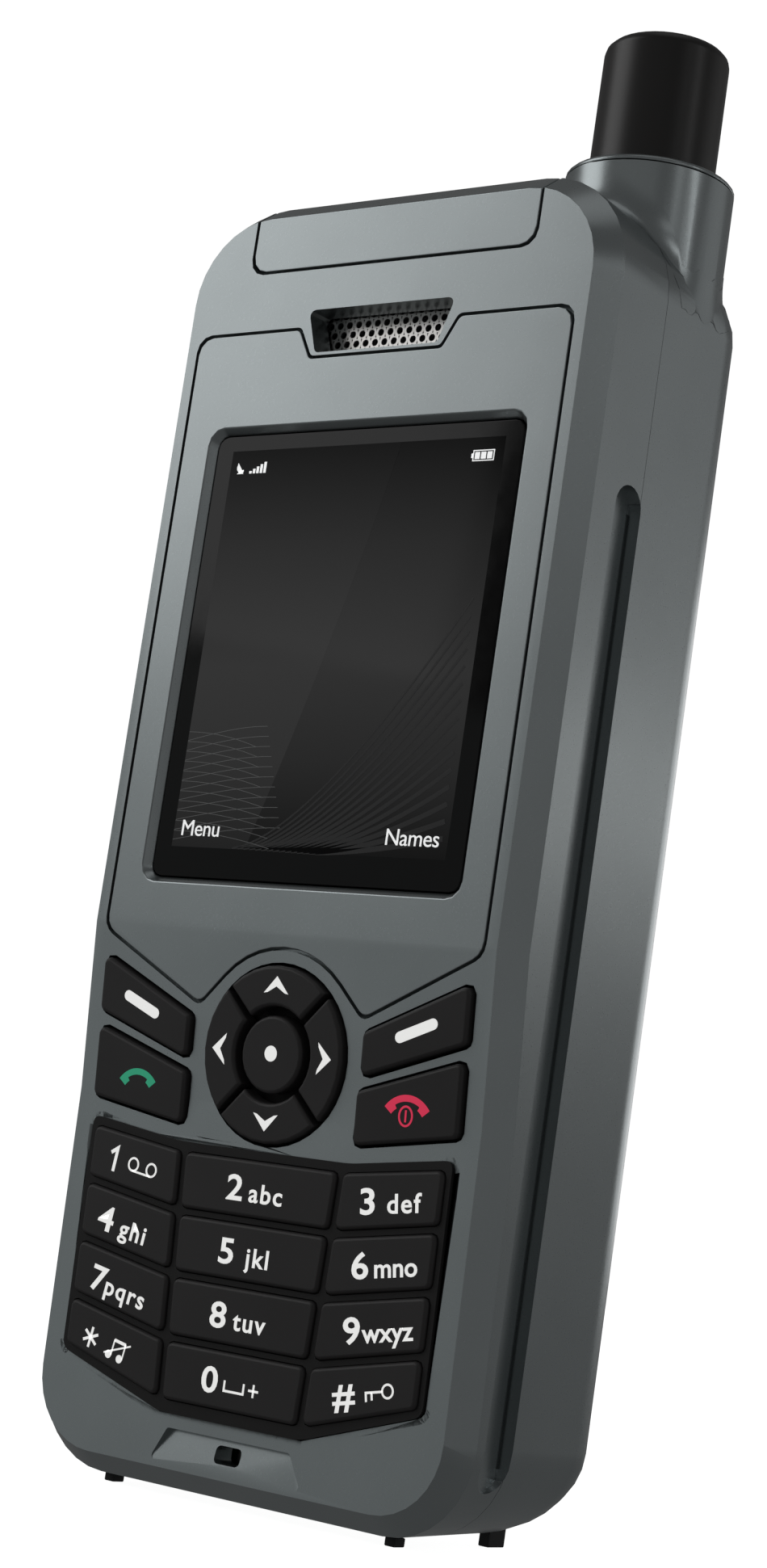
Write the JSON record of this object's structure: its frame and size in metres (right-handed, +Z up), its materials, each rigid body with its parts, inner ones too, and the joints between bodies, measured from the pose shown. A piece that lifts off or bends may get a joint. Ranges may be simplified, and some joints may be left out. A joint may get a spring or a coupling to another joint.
{
  "type": "satellite phone",
  "caption": "Handheld satellite phone with a pull-out antenna in a collar, a display, a sprung keypad and a lift-off back cover.",
  "frame": {"origin": "centre of the phone's footprint, on the plane that its feet stand on", "axes": "+Z up towards the antenna, display facing -Y, +X to the viewer's right"},
  "size_m": [0.053, 0.0274, 0.1475],
  "materials": {
    "housing_paint": "satin dark grey paint on moulded plastic",
    "window_glass": "polished, dark behind",
    "lcd": "display module, dark",
    "grille_steel": "perforated sheet",
    "key_plastic": "fine matt, near black",
    "mat_rubber": "matt silicone",
    "foot_rubber": "matt",
    "port_rubber": "matt",
    "antenna_plastic": "satin black",
    "antenna_former": "moulded former",
    "antenna_brass": "turned",
    "board_laminate": "green solder mask",
    "dome_steel": "thin sheet",
    "shield_steel": "pressed sheet",
    "speaker_black": "moulded",
    "socket_steel": "pressed sheet",
    "contact_brass": "gold plated",
    "battery_label": "plain label",
    "card_plastic": "plain card",
    "screw_steel": "zinc plated"
  },
  "bodies": {
    "housing": {"front_housing": "housing_paint", "rear_housing": "housing_paint", "display_bezel": "housing_paint", "top_insert": "housing_paint", "collar_ring": "housing_paint", "display_window": "window_glass", "lcd_module": "lcd", "earpiece_grille": "grille_steel", "keypad_mat": "mat_rubber", "foot_front_left": "foot_rubber", "foot_front_right": "foot_rubber", "foot_rear_left": "foot_rubber", "foot_rear_right": "foot_rubber", "antenna_guide": "antenna_plastic", "main_board": "board_laminate", "dome_sheet": "dome_steel", "shield_can": "shield_steel", "sim_holder": "shield_steel", "vibration_motor": "shield_steel", "microphone": "shield_steel", "earpiece_speaker": "speaker_black", "headset_jack": "speaker_black", "usb_socket": "socket_steel", "battery_contacts": "contact_brass", "battery": "battery_label", "sim_card": "card_plastic", "bay_screw_1": "screw_steel", "bay_screw_2": "screw_steel", "back_screw_1": "screw_steel", "back_screw_2": "screw_steel"},
    "antenna": {"antenna_radome": "antenna_plastic", "antenna_core": "antenna_former", "antenna_base": "antenna_brass"},
    "port_flap": {"port_cover": "port_rubber"},
    "back_cover": {"battery_cover": "housing_paint"},
    "lock_screw": {"cover_lock_screw": "screw_steel"},
    "soft_key_left_cap": {"soft_key_left": "key_plastic"},
    "soft_key_right_cap": {"soft_key_right": "key_plastic"},
    "call_key_cap": {"call_key": "key_plastic"},
    "end_key_cap": {"end_key": "key_plastic"},
    "nav_up_key_cap": {"nav_up_key": "key_plastic"},
    "nav_down_key_cap": {"nav_down_key": "key_plastic"},
    "nav_left_key_cap": {"nav_left_key": "key_plastic"},
    "nav_right_key_cap": {"nav_right_key": "key_plastic"},
    "select_key_cap": {"select_key": "key_plastic"},
    "key_1_cap": {"key_1": "key_plastic"},
    "key_2_cap": {"key_2": "key_plastic"},
    "key_3_cap": {"key_3": "key_plastic"},
    "key_4_cap": {"key_4": "key_plastic"},
    "key_5_cap": {"key_5": "key_plastic"},
    "key_6_cap": {"key_6": "key_plastic"},
    "key_7_cap": {"key_7": "key_plastic"},
    "key_8_cap": {"key_8": "key_plastic"},
    "key_9_cap": {"key_9": "key_plastic"},
    "key_star_cap": {"key_star": "key_plastic"},
    "key_0_cap": {"key_0": "key_plastic"},
    "key_hash_cap": {"key_hash": "key_plastic"}
  },
  "joints": [
    {"name": "antenna_pull", "type": "slide", "parent": "housing", "child": "antenna", "axis": [0, 0, 1], "range_m": [0, 0.044]},
    {"name": "port_flap_hinge", "type": "hinge", "parent": "housing", "child": "port_flap", "pos_m": [-0.0265, 0.0019, 0.0944], "axis": [0, 0, -1], "range_deg": [0, 110]},
    {"name": "back_cover_lift", "type": "slide", "parent": "housing", "child": "back_cover", "axis": [0, 1, 0], "range_m": [0, 0.03]},
    {"name": "lock_screw_turn", "type": "hinge", "parent": "back_cover", "child": "lock_screw", "pos_m": [0, 0.0127, 0.0765], "axis": [0, 1, 0], "range_deg": [0, 90]},
    {"name": "soft_key_left_press", "type": "slide", "parent": "housing", "child": "soft_key_left_cap", "axis": [0, 0.9952, 0.0977], "range_m": [0, 0.0005], "stiffness_N_per_m": 3600},
    {"name": "soft_key_right_press", "type": "slide", "parent": "housing", "child": "soft_key_right_cap", "axis": [0, 0.9952, 0.0977], "range_m": [0, 0.0005], "stiffness_N_per_m": 3600},
    {"name": "call_key_press", "type": "slide", "parent": "housing", "child": "call_key_cap", "axis": [0, 0.9952, 0.0977], "range_m": [0, 0.0005], "stiffness_N_per_m": 3600},
    {"name": "end_key_press", "type": "slide", "parent": "housing", "child": "end_key_cap", "axis": [0, 0.9952, 0.0977], "range_m": [0, 0.0005], "stiffness_N_per_m": 3600},
    {"name": "nav_up_key_press", "type": "slide", "parent": "housing", "child": "nav_up_key_cap", "axis": [0, 0.9952, 0.0977], "range_m": [0, 0.0005], "stiffness_N_per_m": 3600},
    {"name": "nav_down_key_press", "type": "slide", "parent": "housing", "child": "nav_down_key_cap", "axis": [0, 0.9952, 0.0977], "range_m": [0, 0.0005], "stiffness_N_per_m": 3600},
    {"name": "nav_left_key_press", "type": "slide", "parent": "housing", "child": "nav_left_key_cap", "axis": [0, 0.9952, 0.0977], "range_m": [0, 0.0005], "stiffness_N_per_m": 3600},
    {"name": "nav_right_key_press", "type": "slide", "parent": "housing", "child": "nav_right_key_cap", "axis": [0, 0.9952, 0.0977], "range_m": [0, 0.0005], "stiffness_N_per_m": 3600},
    {"name": "select_key_press", "type": "slide", "parent": "housing", "child": "select_key_cap", "axis": [0, 0.9952, 0.0977], "range_m": [0, 0.0005], "stiffness_N_per_m": 3600},
    {"name": "key_1_press", "type": "slide", "parent": "housing", "child": "key_1_cap", "axis": [0, 0.9995, 0.0309], "range_m": [0, 0.0005], "stiffness_N_per_m": 3600},
    {"name": "key_2_press", "type": "slide", "parent": "housing", "child": "key_2_cap", "axis": [0, 0.9995, 0.0309], "range_m": [0, 0.0005], "stiffness_N_per_m": 3600},
    {"name": "key_3_press", "type": "slide", "parent": "housing", "child": "key_3_cap", "axis": [0, 0.9995, 0.0309], "range_m": [0, 0.0005], "stiffness_N_per_m": 3600},
    {"name": "key_4_press", "type": "slide", "parent": "housing", "child": "key_4_cap", "axis": [0, 0.9995, 0.0309], "range_m": [0, 0.0005], "stiffness_N_per_m": 3600},
    {"name": "key_5_press", "type": "slide", "parent": "housing", "child": "key_5_cap", "axis": [0, 0.9995, 0.0309], "range_m": [0, 0.0005], "stiffness_N_per_m": 3600},
    {"name": "key_6_press", "type": "slide", "parent": "housing", "child": "key_6_cap", "axis": [0, 0.9995, 0.0309], "range_m": [0, 0.0005], "stiffness_N_per_m": 3600},
    {"name": "key_7_press", "type": "slide", "parent": "housing", "child": "key_7_cap", "axis": [0, 0.9995, 0.0309], "range_m": [0, 0.0005], "stiffness_N_per_m": 3600},
    {"name": "key_8_press", "type": "slide", "parent": "housing", "child": "key_8_cap", "axis": [0, 0.9995, 0.0309], "range_m": [0, 0.0005], "stiffness_N_per_m": 3600},
    {"name": "key_9_press", "type": "slide", "parent": "housing", "child": "key_9_cap", "axis": [0, 0.9995, 0.0309], "range_m": [0, 0.0005], "stiffness_N_per_m": 3600},
    {"name": "key_star_press", "type": "slide", "parent": "housing", "child": "key_star_cap", "axis": [0, 0.9995, 0.0309], "range_m": [0, 0.0005], "stiffness_N_per_m": 3600},
    {"name": "key_0_press", "type": "slide", "parent": "housing", "child": "key_0_cap", "axis": [0, 0.9995, 0.0309], "range_m": [0, 0.0005], "stiffness_N_per_m": 3600},
    {"name": "key_hash_press", "type": "slide", "parent": "housing", "child": "key_hash_cap", "axis": [0, 0.9995, 0.0309], "range_m": [0, 0.0005], "stiffness_N_per_m": 3600}
  ]
}
